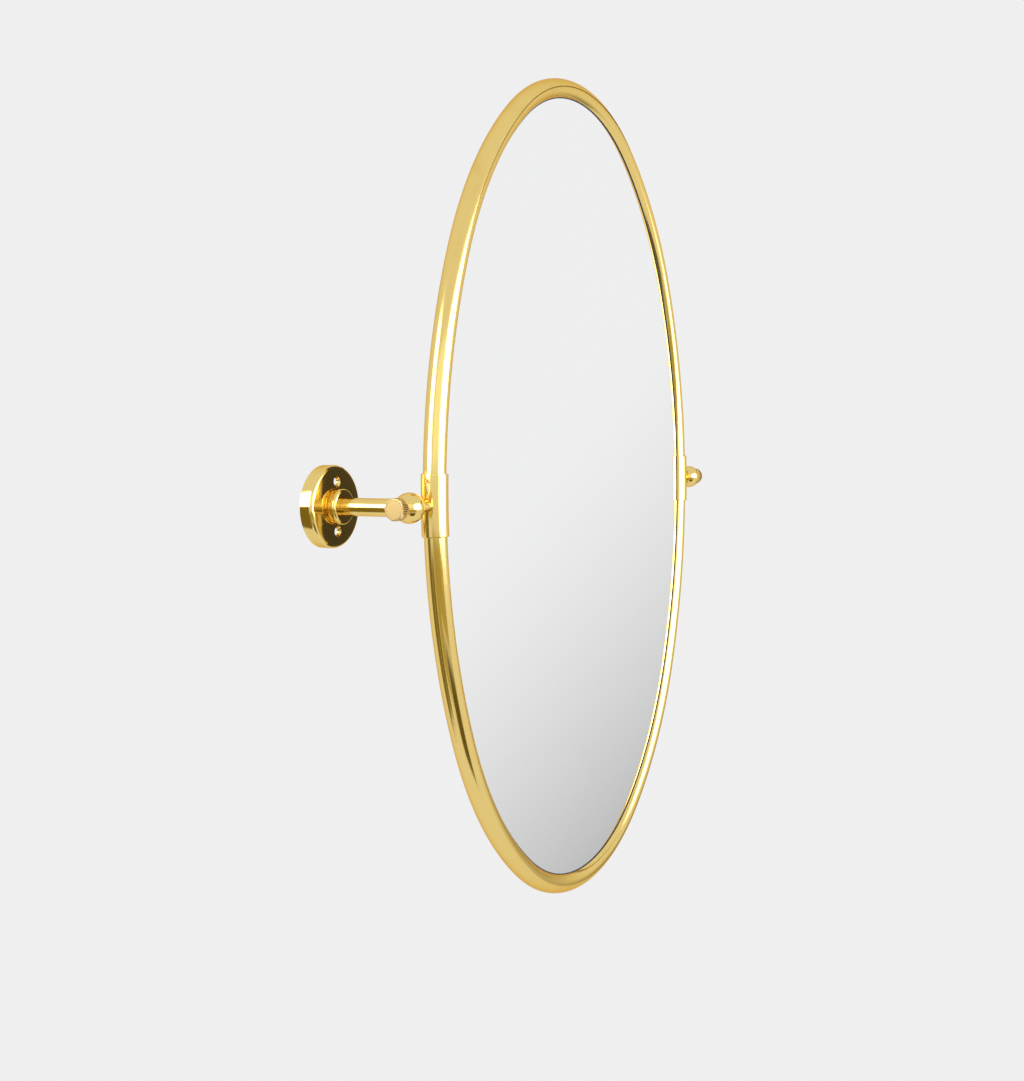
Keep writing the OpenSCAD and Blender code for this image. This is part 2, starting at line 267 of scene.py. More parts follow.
@dataclass(frozen=True)
class Brass:
    """Bare brass, from satin to polished.

    Attributes:
        name: The finish's name.
        colour: The clean metal's colour.
        tarnish: The colour where the metal has darkened a little.
        smooth: The roughness at its smoothest.
        dull: The roughness where it has been handled.
        lines: How much rougher the fine lines are than the metal between them.
        across: How fine the lines are.
        along: How often a line changes along its length.
        relief: How much of the lines' relief shows.
        patch: How fine the patches of tarnish are.
        rim: The colour of the metal where it is seen edge on.
        hollow: How strongly painted shade darkens the colour in its grooves.
        dirt: The colour of the painted shade in its grooves.
    """

    name: str
    colour: tuple[float, float, float]
    tarnish: tuple[float, float, float]
    smooth: float
    dull: float
    lines: float
    across: float
    along: float
    relief: float
    patch: float
    rim: tuple[float, float, float] = (0.84, 0.60, 0.34)
    hollow: float = 0.0
    dirt: tuple[float, float, float] = (0.16, 0.085, 0.02)

    def material(self) -> bpy.types.Material:
        """Makes the material.

        Returns:
            The material.
        """
        coat = Coat(self.name)
        lines = coat.effect("fine_lines", Across=self.across, Along=self.along)
        marks = coat.effect("handling", Size=self.patch, Cover=0.42).outputs["Mask"]
        edges = coat.effect("worn_edges", Width=0.08).outputs["Mask"]
        bright = tuple(min(1.0, 1.05 * part) for part in self.colour)
        shown = coat.blend(edges, coat.blend(marks, self.colour, self.tarnish), bright)
        # Painted shade: the colour darkens towards a dark brown where the groove attribute marks the
        # knurl's grooves.
        if self.hollow > 0:
            groove = coat.node("Attribute", {}, attribute_name=GROOVE)
            shown = coat.blend(coat.spread(groove.outputs["Fac"], 0.0, self.hollow), shown, self.dirt)
        rough = coat.spread(marks, self.smooth, self.dull)
        streak = coat.spread(lines.outputs["Shade"], 0.0, self.lines)
        coat.relief(lines.outputs["Height"], self.relief, 0.00004)
        return coat.finish({"Base Color": shown, "Roughness": coat.sum(rough, streak),
                            "Metallic": 1.0, "Specular Tint": (*self.rim, 1.0)})


@dataclass(frozen=True)
class SilveredGlass:
    """The front of a glass mirror.

    Attributes:
        tint: The colour that it gives to what it reflects.
    """

    tint: tuple[float, float, float] = (0.985, 0.99, 0.99)

    def material(self) -> bpy.types.Material:
        """Makes the material, with the faintest haze where a cloth has passed.

        Returns:
            The material.
        """
        coat = Coat(Slot.GLASS.value)
        haze = coat.effect("handling", Size=4.0, Cover=0.35).outputs["Mask"]
        hazed = tuple(0.985 * part for part in self.tint)
        return coat.finish({"Base Color": coat.blend(haze, self.tint, hazed),
                            "Roughness": coat.spread(haze, 0.004, 0.02), "Metallic": 1.0})


@dataclass(frozen=True)
class PaintedBoard:
    """Hardboard with a thin coat of dark paint.

    Attributes:
        paint: The paint's colour.
        thin: The colour where the paint lies thin over the fibres.
    """

    paint: tuple[float, float, float] = (0.021, 0.014, 0.004)
    thin: tuple[float, float, float] = (0.056, 0.037, 0.012)

    def material(self) -> bpy.types.Material:
        """Makes the material.

        Returns:
            The material.
        """
        coat = Coat(Slot.BOARD.value)
        weave = coat.effect("handling", Size=420.0, Cover=0.5).outputs["Mask"]
        cloud = coat.effect("handling", Size=9.0, Cover=0.4).outputs["Mask"]
        both = coat.sum(coat.spread(weave, 0.0, 0.6), coat.spread(cloud, 0.0, 0.4))
        coat.relief(weave, 0.5, 0.0002)
        return coat.finish({"Base Color": coat.blend(both, self.paint, self.thin),
                            "Roughness": coat.spread(weave, 0.55, 0.75)})


@dataclass(frozen=True)
class BlackRubber:
    """Soft black rubber with a little dust.

    Attributes:
        clean: The rubber's colour.
        dusty: The colour of the dust on it.
    """

    clean: tuple[float, float, float] = (0.012, 0.011, 0.010)
    dusty: tuple[float, float, float] = (0.035, 0.033, 0.030)

    def material(self) -> bpy.types.Material:
        """Makes the material.

        Returns:
            The material.
        """
        coat = Coat(Slot.RUBBER.value)
        dust = coat.effect("handling", Size=60.0, Cover=0.4).outputs["Mask"]
        return coat.finish({"Base Color": coat.blend(dust, self.clean, self.dusty),
                            "Roughness": coat.spread(dust, 0.5, 0.72)})


FINISHES = {
    Slot.SATIN: Brass("satin_brass", (0.865, 0.65, 0.225), (0.83, 0.60, 0.195),
                      0.11, 0.15, 0.05, 2600.0, 14.0, 0.04, 24.0),
    Slot.POLISHED: Brass("polished_brass", (0.87, 0.655, 0.225), (0.83, 0.60, 0.19),
                         0.075, 0.11, 0.03, 3200.0, 60.0, 0.04, 60.0),
    Slot.TURNED: Brass("turned_brass", (0.86, 0.64, 0.23), (0.79, 0.56, 0.18),
                       0.16, 0.24, 0.08, 4200.0, 60.0, 0.16, 90.0),
    # The knurled brass's colour is kept darker than the other brass as painted shade, for the dimmer
    # look of its rough face in this light; hollow paints more shade into its grooves.
    Slot.KNURLED: Brass("knurled_brass", (0.66, 0.48, 0.21), (0.60, 0.43, 0.17),
                        0.28, 0.33, 0.06, 4200.0, 60.0, 0.08, 90.0, hollow=0.9),
    Slot.GLASS: SilveredGlass(),
    Slot.BOARD: PaintedBoard(),
    Slot.RUBBER: BlackRubber(),
}


def material_for(slot: Slot) -> bpy.types.Material:
    """Finds or makes the material of a slot, under its own name.

    Args:
        slot: The material slot.

    Returns:
        The material.
    """
    name = slot.value + "_finish"
    if name not in bpy.data.materials:
        FINISHES[slot].material().name = name
    return bpy.data.materials[name]


# ---------------------------------------------------------------- bench tools


class Workpiece:
    """A mesh on the bench, in millimetres. Its section is drawn with X and Z as the two axes."""

    def __init__(self, x: float, z: float) -> None:
        """Starts a section with its first point.

        Args:
            x: The first point's place along X, or its radius.
            z: The first point's place along Z, or its height.
        """
        self.mesh = bmesh.new()
        self.first = bmesh.ops.create_vert(self.mesh, co=(x, 0.0, z))["vert"][0]
        self.tip = self.first

    def line(self, *points: tuple[float, float]) -> "Workpiece":
        """Carries the section on in straight lines.

        Args:
            *points: The points that it goes through.

        Returns:
            The workpiece itself.
        """
        for x, z in points:
            self.tip = bmesh.ops.extrude_vert_indiv(self.mesh, verts=[self.tip])["verts"][0]
            self.tip.co = (x, 0.0, z)
        return self

    def arc(self, x: float, z: float, degrees: float, steps: int) -> "Workpiece":
        """Carries the section on round a centre.

        Args:
            x: The centre's place along X.
            z: The centre's place along Z.
            degrees: How far it goes, positive from X towards Z.
            steps: How many straight steps it takes.

        Returns:
            The workpiece itself.
        """
        turned = bmesh.ops.spin(self.mesh, geom=[self.tip], cent=(x, 0.0, z), axis=(0, -1, 0),
                                angle=math.radians(degrees), steps=steps)
        self.tip = next(g for g in turned["geom_last"] if isinstance(g, bmesh.types.BMVert))
        return self

    def close(self) -> "Workpiece":
        """Joins the section's end to its start."""
        self.mesh.edges.new((self.tip, self.first))
        return self

    def everything(self) -> list:
        """All the points, lines and faces so far."""
        return [*self.mesh.verts, *self.mesh.edges, *self.mesh.faces]

    def turn(self, segments: int = 96) -> "Workpiece":
        """Turns the section about the Z axis into a solid.

        Args:
            segments: How many steps go round.

        Returns:
            The workpiece itself.
        """
        bmesh.ops.spin(self.mesh, geom=self.everything(), cent=(0, 0, 0), axis=(0, 0, 1),
                       angle=2 * math.pi, steps=segments, use_merge=True)
        return self.seal()

    def seal(self) -> "Workpiece":
        """Merges doubled points and turns all faces outwards.

        Returns:
            The workpiece itself.
        """
        bmesh.ops.remove_doubles(self.mesh, verts=self.mesh.verts, dist=1e-4)
        bmesh.ops.recalc_face_normals(self.mesh, faces=self.mesh.faces)
        return self

    def place(self, matrix: Matrix) -> "Workpiece":
        """Moves the whole piece."""
        bmesh.ops.transform(self.mesh, matrix=matrix, verts=self.mesh.verts)
        return self

    def cap(self) -> "Workpiece":
        """Closes every open end with a flat face."""
        bmesh.ops.edgeloop_fill(self.mesh, edges=[e for e in self.mesh.edges if e.is_boundary])
        return self

    def slice(self, point: Vector, outwards: Vector) -> "Workpiece":
        """Cuts the piece flat and closes the cut.

        Args:
            point: A point on the cut.
            outwards: The direction of what is taken away.

        Returns:
            The workpiece itself.
        """
        bmesh.ops.bisect_plane(self.mesh, geom=self.everything(), dist=1e-5, plane_co=point,
                               plane_no=outwards, clear_outer=True)
        self.cap()
        bmesh.ops.recalc_face_normals(self.mesh, faces=self.mesh.faces)
        return self

    def soften(self, chosen: Callable[[bmesh.types.BMEdge], bool], width: float,
               segments: int = 2) -> "Workpiece":
        """Rounds some edges.

        Args:
            chosen: Says whether an edge is rounded.
            width: The width of the rounding.
            segments: How many steps it takes.

        Returns:
            The workpiece itself.
        """
        edges = [e for e in self.mesh.edges if chosen(e)]
        bmesh.ops.bevel(self.mesh, geom=edges, offset=width, offset_type="OFFSET",
                        segments=segments, profile=0.5, affect="EDGES", material=-1,
                        clamp_overlap=True)
        return self

    def to_mesh(self, name: str) -> bpy.types.Mesh:
        """Takes the piece off the bench.

        Args:
            name: The mesh's name.

        Returns:
            The mesh, in metres.
        """
        self.place(Matrix.Scale(MM, 4))
        made = bpy.data.meshes.new(name)
        self.mesh.to_mesh(made)
        self.mesh.free()
        return made


class Bench:
    """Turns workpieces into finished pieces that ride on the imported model."""

    @staticmethod
    def drill(mesh: bpy.types.Mesh, cutters: list[Workpiece]) -> bpy.types.Mesh:
        """Cuts holes in a mesh.

        Args:
            mesh: The mesh to cut.
            cutters: The shapes to take away.

        Returns:
            The cut mesh.
        """
        blank = bpy.data.objects.new("blank", mesh)
        bpy.context.scene.collection.objects.link(blank)
        tools = []
        for cutter in cutters:
            tool = bpy.data.objects.new("cutter", cutter.to_mesh("cutter"))
            bpy.context.scene.collection.objects.link(tool)
            step = blank.modifiers.new("hole", "BOOLEAN")
            step.operation = "DIFFERENCE"
            step.solver = "EXACT"
            step.object = tool
            tools.append(tool)
        ready = blank.evaluated_get(bpy.context.evaluated_depsgraph_get())
        made = bpy.data.meshes.new_from_object(ready)
        for thing in (blank, *tools):
            bpy.data.objects.remove(thing)
        return made

    @staticmethod
    def hand_over(name: str, made: Workpiece, body: str, slot: Slot, grain: GrainRule,
                  cutters: list[Workpiece] | None = None, crease: float = 32.0) -> None:
        """Finishes a piece and puts it in the place of its plain solid.

        Args:
            name: The node that it stands for, and its own name with _piece after it.
            made: The workpiece.
            body: The body that it rides on.
            slot: The material slot that it takes its finish from.
            grain: Gives each point its place across and along the grain.
            cutters: The shapes to take away from it.
            crease: The angle from which an edge is sharp, in degrees.
        """
        mesh = made.to_mesh(name + "_mesh")
        if cutters:
            mesh = Bench.drill(mesh, cutters)
        mesh.name = name + "_mesh"
        mesh.polygons.foreach_set("use_smooth", [True] * len(mesh.polygons))
        mesh.set_sharp_from_angle(angle=math.radians(crease))
        flat: list[float] = []
        for vertex in mesh.vertices:
            flat.extend(grain(vertex.co / MM) * MM)
        mesh.attributes.new(GRAIN, "FLOAT_VECTOR", "POINT").data.foreach_set("vector", flat)
        mesh.materials.clear()
        mesh.materials.append(material_for(slot))
        piece = bpy.data.objects.new(name + "_piece", mesh)
        bpy.context.scene.collection.objects.link(piece)
        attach(piece, body)
        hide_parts(name)
        log.info("%s: %d faces, on %s", piece.name, len(mesh.polygons), body)


def turned_grain(centre: Vector, axis: Vector) -> GrainRule:
    """Makes the rule for a turned piece, whose fine lines run round its axis.

    Args:
        centre: A point on the axis.
        axis: The axis.

    Returns:
        The rule.
    """
    aside = axis.orthogonal().normalized()

    def rule(point: Vector) -> Vector:
        """Works out a point's place on the lines.

        Args:
            point: The point.

        Returns:
            Its radius, its height and a slow change round the axis.
        """
        offset = point - centre
        height = offset.dot(axis)
        out = offset - height * axis
        turn = out.normalized().dot(aside) if out.length > 1e-6 else 0.0
        return Vector((out.length, height, 8.0 * turn))

    return rule


# ---------------------------------------------------------------- the oval


@dataclass(frozen=True)
class Arc:
    """One arc of the oval, in millimetres and degrees.

    Attributes:
        centre: Its centre, along X and Z.
        radius: Its radius.
        start: The angle where it starts.
        end: The angle where it ends.
    """

    centre: tuple[float, float]
    radius: float
    start: float
    end: float


@dataclass(frozen=True)
class Oval:
    """The centre line of the frame: tangent arcs in an upright plane.

    Attributes:
        half_width: Half its width.
        half_height: Half its height.
        roundness: The side arcs' radius, as a share of a true ellipse's radius there.
        side_angle: The angle where a side arc meets a shoulder arc.
        shoulder_angle: The angle where a shoulder arc meets the top arc.
        plane: The plane's place along Y.
    """

    half_width: float = 241.5
    half_height: float = 341.5
    roundness: float = 0.96
    side_angle: float = 24.0
    shoulder_angle: float = 54.0
    plane: float = AXIS_Y

    def quarter(self) -> tuple[Arc, Arc, Arc]:
        """Works out the three arcs of the upper right quarter.

        Returns:
            The side arc, the shoulder arc and half of the top arc.
        """
        side = self.roundness * self.half_height**2 / self.half_width
        c1, s1 = math.cos(math.radians(self.side_angle)), math.sin(math.radians(self.side_angle))
        c2 = math.cos(math.radians(self.shoulder_angle))
        s2 = math.sin(math.radians(self.shoulder_angle))
        need_x = side * (1 - c1) - self.half_width
        need_z = self.half_height - side * s1
        share = (c2 - c1) * (1 - s2) + c2 * (s2 - s1)
        shoulder = (need_x * (1 - s2) + c2 * need_z) / share
        top = ((c2 - c1) * need_z - (s2 - s1) * need_x) / share
        side_x = self.half_width - side
        middle = (side_x + (side - shoulder) * c1, (side - shoulder) * s1)
        return (
            Arc((side_x, 0.0), side, 0.0, self.side_angle),
            Arc(middle, shoulder, self.side_angle, self.shoulder_angle),
            Arc((0.0, self.half_height - top), top, self.shoulder_angle, 90.0),
        )

    def round_trip(self) -> list[Arc]:
        """Lists the arcs of the whole oval, from the right side upwards.

        Returns:
            The arcs from 0 to 360 degrees.
        """
        side, shoulder, top = self.quarter()
        sx, sz = shoulder.centre
        a, b = self.side_angle, self.shoulder_angle
        return [
            side,
            shoulder,
            Arc(top.centre, top.radius, b, 180 - b),
            Arc((-sx, sz), shoulder.radius, 180 - b, 180 - a),
            Arc((-side.centre[0], 0.0), side.radius, 180 - a, 180 + a),
            Arc((-sx, -sz), shoulder.radius, 180 + a, 180 + b),
            Arc((0.0, -top.centre[1]), top.radius, 180 + b, 360 - b),
            Arc((sx, -sz), shoulder.radius, 360 - b, 360 - a),
            Arc(side.centre, side.radius, 360 - a, 360.0),
        ]

    def between(self, start: float, end: float) -> list[Arc]:
        """Lists the arcs from one angle to another.

        Args:
            start: The first angle.
            end: The last angle.

        Returns:
            The arcs, cut to that range.
        """
        cut = []
        for arc in self.round_trip():
            low, high = max(arc.start, start), min(arc.end, end)
            if high - low > 1e-6:
                cut.append(Arc(arc.centre, arc.radius, low, high))
        return cut

    def sweep(self, section: Workpiece, arcs: list[Arc], step: float = 2.4) -> Workpiece:
        """Sweeps a section along arcs. Its X points away from the oval's middle, its Z into the wall.

        Args:
            section: The drawn section, with the centre line at its origin.
            arcs: The arcs to follow.
            step: The longest step on the centre line.

        Returns:
            The swept workpiece.
        """
        first = arcs[0]
        turn = Matrix.Rotation(math.radians(first.start), 4, Vector((0, -1, 0)))
        away = turn @ Vector((first.radius, 0, 0))
        start = Vector((first.centre[0], self.plane, first.centre[1])) + away
        upright = Matrix.Rotation(math.radians(-90), 4, "X")
        section.place(Matrix.Translation(start) @ turn @ upright)
        moving = section.everything()
        for arc in arcs:
            angle = math.radians(arc.end - arc.start)
            steps = max(2, math.ceil(angle * arc.radius / step))
            centre = (arc.centre[0], self.plane, arc.centre[1])
            moving = bmesh.ops.spin(section.mesh, geom=moving, cent=centre, axis=(0, -1, 0),
                                    angle=angle, steps=steps)["geom_last"]
        return section

    def grain(self, point: Vector) -> Vector:
        """Gives a point's place round the tube and along it, for lines that follow the tube.

        Args:
            point: The point.

        Returns:
            Its place across the grain, twice, and along it.
        """
        side, shoulder, top = self.quarter()
        x, z = abs(point.x), abs(point.z)
        gone = 0.0
        for arc in (side, shoulder, top):
            angle = math.degrees(math.atan2(z - arc.centre[1], x - arc.centre[0]))
            if angle <= arc.end or arc is top:
                break
            gone += arc.radius * math.radians(arc.end - arc.start)
        angle = max(arc.start, min(90.0, angle))
        gone += arc.radius * math.radians(angle - arc.start)
        inset = math.hypot(x - arc.centre[0], z - arc.centre[1]) - arc.radius
        whole = sum(a.radius * math.radians(a.end - a.start) for a in (side, shoulder, top))
        along = gone if point.x > 0 else 2 * whole - gone
        across = 8.5 * math.atan2(point.y - self.plane, inset)
        return Vector((across, 0.0, math.copysign(along, point.z)))


# ---------------------------------------------------------------- the mirror


@dataclass
class MirrorPack:
    """The oval frame with its glass, board and rubber.

    Attributes:
        oval: The centre line.
        tube: The tube's outer radius.
        bore: The tube's inner radius.
        slot: Half the width of the tube's slot.
        end_gap: Half the gap between the two halves, along Z.
        glass: The glass's front and back, along Y.
        board_back: The board's back, along Y.
        edge_inset: How far the glass's edge stays inside the centre line.
        rubber: The rubber's thickness.
        lip: How far the rubber reaches inwards from the centre line.
    """

    oval: Oval = field(default_factory=Oval)
    tube: float = 8.5
    bore: float = 7.0
    slot: float = 4.0
    end_gap: float = 0.25
    glass: tuple[float, float] = (-75.25, -71.25)
    board_back: float = -68.75
    edge_inset: float = 3.5
    rubber: float = 0.75
    lip: float = 8.3

    def slotted(self, outer: float, inner: float, steps: int) -> Workpiece:
        """Draws the section of a slotted tube, its slot towards the oval's middle.

        Args:
            outer: The outer radius.
            inner: The inner radius.
            steps: How many steps the outer arc takes.

        Returns:
            The drawn section.
        """
        out = math.degrees(math.asin(self.slot / outer))
        inn = math.degrees(math.asin(self.slot / inner))
        start = Vector((-outer * math.cos(math.radians(out)), -self.slot))
        section = Workpiece(start.x, start.y)
        section.arc(0, 0, 360 - 2 * out, steps)
        section.line((-inner * math.cos(math.radians(inn)), self.slot))
        section.arc(0, 0, -(360 - 2 * inn), steps // 2)
        return section.close()

    def frame_half(self, upper: bool) -> None:
        """Makes one half of the tube.

        Args:
            upper: True for the upper half.
        """
        gap = math.degrees(self.end_gap / self.oval.quarter()[0].radius)
        low = (0 if upper else 180) + gap
        arcs = self.oval.between(low, low + 180 - 2 * gap)
        made = self.oval.sweep(self.slotted(self.tube, self.bore, 72), arcs).cap().seal()
        name = "frame_tube_upper" if upper else "frame_tube_lower"
        cutters = [SideJoint(side).grub_drill() for side in Side] if upper else None
        Bench.hand_over(name, made, "mirror", Slot.SATIN, self.oval.grain, cutters)

    def plate(self, front: float, back: float, arris: float) -> Workpiece:
        """Cuts an oval plate.

        Args:
            front: Its front, along Y.
            back: Its back, along Y.
            arris: The width of the small bevel at its edges.

        Returns:
            The workpiece.
        """
        made = Workpiece(-self.edge_inset, 0.0)
        self.oval.sweep(made, self.oval.between(0, 360), 3.0)
        bmesh.ops.remove_doubles(made.mesh, verts=made.mesh.verts, dist=1e-3)
        made.place(Matrix.Translation((0, front - self.oval.plane, 0)))
        face = bmesh.ops.edgeloop_fill(made.mesh, edges=made.mesh.edges)["faces"]
        grown = bmesh.ops.extrude_face_region(made.mesh, geom=face)["geom"]
        moved = [g for g in grown if isinstance(g, bmesh.types.BMVert)]
        bmesh.ops.translate(made.mesh, verts=moved, vec=(0, back - front, 0))
        bmesh.ops.recalc_face_normals(made.mesh, faces=made.mesh.faces)
        flat = [f for f in made.mesh.faces if len(f.verts) > 4]
        rims = {e for f in flat for e in f.edges}
        return made.soften(lambda e: e in rims, arris, 1)

    def channel(self) -> Workpiece:
        """Makes the rubber channel, with a rounded nose on both its lips.

        Returns:
            The workpiece.
        """
        half = self.slot
        lip, root, inset = -self.lip, -(self.edge_inset - self.rubber), -self.edge_inset
        nose = self.rubber / 2
        made = Workpiece(root, -half).line((root, half), (lip + nose, half))
        made.arc(lip + nose, half - nose, 180, 6)
        made.line((inset, half - self.rubber), (inset, -half + self.rubber))
        made.line((lip + nose, -half + self.rubber))
        made.arc(lip + nose, -half + nose, 180, 6).close()
        return self.oval.sweep(made, self.oval.between(0, 360), 3.0).seal()

    def build(self) -> None:
        """Makes and dresses all its pieces."""
        self.frame_half(True)
        self.frame_half(False)
        flat = turned_grain(Vector((0, 0, 0)), Vector((0, 1, 0)))
        glass = self.plate(self.glass[0], self.glass[1], 0.4)
        Bench.hand_over("mirror_glass", glass, "mirror", Slot.GLASS, flat)
        board = self.plate(self.glass[1], self.board_back, 0.2)
        Bench.hand_over("backing_board", board, "mirror", Slot.BOARD, flat)
        Bench.hand_over("glazing_gasket", self.channel(), "mirror", Slot.RUBBER, self.oval.grain)


# ---------------------------------------------------------------- joints at the sides


def outwards(side: Side, start: float, level: float = 0.0) -> Matrix:
    """Lays a piece that was turned about Z along the pivot axis, from start to the outside."""
    turn = Matrix.Rotation(math.radians(90 * side.value), 4, "Y")
    return Matrix.Translation((side.value * start, AXIS_Y, level)) @ turn


def pivot_grain(level: float = 0.0) -> GrainRule:
    """The rule for pieces turned about the pivot axis, or about a line at some level over it."""
    return turned_grain(Vector((0, AXIS_Y, level)), Vector((1, 0, 0)))


@dataclass
class SideJoint:
    """The sleeve that joins the frame's halves, with its pin, spigot, grub screw and washer.

    Attributes:
        side: The side of the mirror.
        pack: The frame that it joins.
        outer: The sleeve's outer radius.
        bore: The sleeve's inner radius.
        spread: Half the angle that the sleeve covers, in degrees.
        spigot: The spigot's radius.
        spigot_spread: Half the angle that the spigot covers, in degrees.
        flat: How far the spigot's flat side is from its middle.
        grub_level: The height of the grub screw.
        root: Where the pin starts, from the mirror's middle.
        seat: Where the pin's shoulder starts.
        pivot: The middle of the ball.
        ball: The ball's radius, where the inner washer starts.
    """

    side: Side
    pack: MirrorPack = field(default_factory=MirrorPack)
    outer: float = 10.0
    bore: float = 8.55
    spread: float = 2.807
    spigot: float = 6.95
    spigot_spread: float = 3.71
    flat: float = 2.7
    grub_level: float = 17.5
    root: float = 240.125
    seat: float = 250.665
    pivot: float = 276.0
    ball: float = 11.0

    def arcs(self, spread: float) -> list[Arc]:
        """The arc that the sleeve or the spigot follows.

        Args:
            spread: Half its angle, in degrees.

        Returns:
            One arc.
        """
        base = self.pack.oval.quarter()[0]
        middle = 0.0 if self.side is Side.RIGHT else 180.0
        centre = (self.side.value * base.centre[0], 0.0)
        return [Arc(centre, base.radius, middle - spread, middle + spread)]

    def rod(self, radius: float, start: float, length: float, level: float = 0.0) -> Workpiece:
        """Makes a plain round cutter that points outwards."""
        made = Workpiece(0, 0).line((radius, 0), (radius, length), (0, length)).turn(48)
        return made.place(outwards(self.side, start, level))

    def grub_drill(self) -> Workpiece:
        """Makes the cutter for the grub screw's hole."""
        return self.rod(GRUB + CLEAR, 243.0, 15.0, self.grub_level)

    def hand_over(self, name: str, made: Workpiece, slot: Slot, rule: GrainRule,
                  *cutters: Workpiece) -> None:
        """Hands over a piece of this side that rides on the mirror."""
        Bench.hand_over(f"{name}_{self.side.tag}", made, "mirror", slot, rule, list(cutters))

    def sleeve(self) -> None:
        """Makes the sleeve, its ends softly rounded."""
        section = self.pack.slotted(self.outer, self.bore, 84)
        arc = self.arcs(self.spread)[0]
        made = self.pack.oval.sweep(section, [arc], 1.0).cap().seal()
        limit = math.radians(self.spread) - 1e-4

        def at_end(edge: bmesh.types.BMEdge) -> bool:
            """Finds the edges on the outer rims of the two ends.

            Args:
                edge: The edge.

            Returns:
                True if it is one.
            """
            for vertex in edge.verts:
                dx, dz = vertex.co.x - arc.centre[0], vertex.co.z - arc.centre[1]
                angle = math.asin(dz / math.hypot(dx, dz))
                off = math.hypot(math.hypot(dx, dz) - arc.radius, vertex.co.y - AXIS_Y)
                if abs(angle) < limit or off < self.outer - 0.02:
                    return False
            return True

        made.soften(at_end, 0.4, 4)
        self.hand_over("frame_sleeve", made, Slot.SATIN, self.pack.oval.grain, self.grub_drill(),
                       self.rod(PIN + CLEAR, 243.0, 12.0), self.rod(SHOULDER + CLEAR, self.seat, 5.0))

    def joint_spigot(self) -> None:
        """Makes the bar inside the sleeve, with its flat side towards the glass."""
        half = math.degrees(math.acos(self.flat / self.spigot))
        section = Workpiece(-self.flat, -math.sqrt(self.spigot**2 - self.flat**2))
        section.arc(0, 0, 360 - 2 * half, 48).close()
        made = self.pack.oval.sweep(section, self.arcs(self.spigot_spread), 1.5).cap().seal()
        self.hand_over("joint_spigot", made, Slot.TURNED, self.pack.oval.grain,
                       self.rod(PIN + CLEAR, 230.0, 22.0))

    def grub_screw(self) -> None:
        """Makes the grub screw, with a bevelled end and a socket with six flats."""
        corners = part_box("sleeve_screw_" + self.side.tag)
        ends = sorted(abs(corner.x) / MM for corner in corners)
        length = ends[1] - ends[0]
        place = outwards(self.side, ends[0], self.grub_level)
        made = Workpiece(0, 0).line((GRUB - 0.3, 0), (GRUB, 0.3), (GRUB, length - 0.25))
        made.line((GRUB - 0.2, length), (0, length)).turn(48).place(place)
        corner = 1.0 / math.cos(math.radians(30))
        key = Workpiece(0, length / 2).line((corner, length / 2), (corner, length + 1))
        key.line((0, length + 1)).turn(6).place(place)
        self.hand_over("sleeve_screw", made, Slot.TURNED, pivot_grain(self.grub_level), key)

    def pin(self) -> None:
        """Makes the pin: root, shoulder, journal and a threaded end."""
        face, thread, end, soft = self.pivot - self.ball, self.pivot + 9.8, self.pivot + 17, 0.3
        made = Workpiece(0, self.root).line((PIN, self.root), (PIN, self.seat))
        made.line((SHOULDER, self.seat), (SHOULDER, face - soft))
        made.arc(SHOULDER - soft, face - soft, 90, 3).line((PIN, face), (PIN, thread))
        made.line((THREAD, thread), (THREAD, thread + PITCH))
        for turn in range(1, 8):
            crest, valley = thread + PITCH * turn, THREAD - 0.32
            made.line((valley, crest + 0.32), (valley, crest + 0.46), (THREAD, crest + 0.74))
        made.line((THREAD, end - 0.4), (THREAD - 0.4, end), (0, end)).turn(72)
        self.hand_over("pivot_pin", made.place(outwards(self.side, 0)), Slot.TURNED, pivot_grain())

    def build(self) -> None:
        """Makes and dresses all its pieces."""
        self.sleeve()
        self.joint_spigot()
        self.grub_screw()
        self.pin()
        made = washer(PIN + CLEAR, 4.8, 0.95).place(outwards(self.side, self.pivot - self.ball))
        self.hand_over("inner_washer", made, Slot.TURNED, pivot_grain())


def washer(bore: float, outer: float, thickness: float) -> Workpiece:
    """Makes a washer with softened edges.

    Args:
        bore: The radius of its hole.
        outer: Its outer radius.
        thickness: Its thickness.

    Returns:
        The workpiece.
    """
    soft = 0.15
    top = thickness - soft
    made = Workpiece(bore, 0).line((outer - soft, 0), (outer, soft), (outer, top))
    return made.arc(outer - soft, top, 90, 3).line((bore, thickness)).close().turn(72)


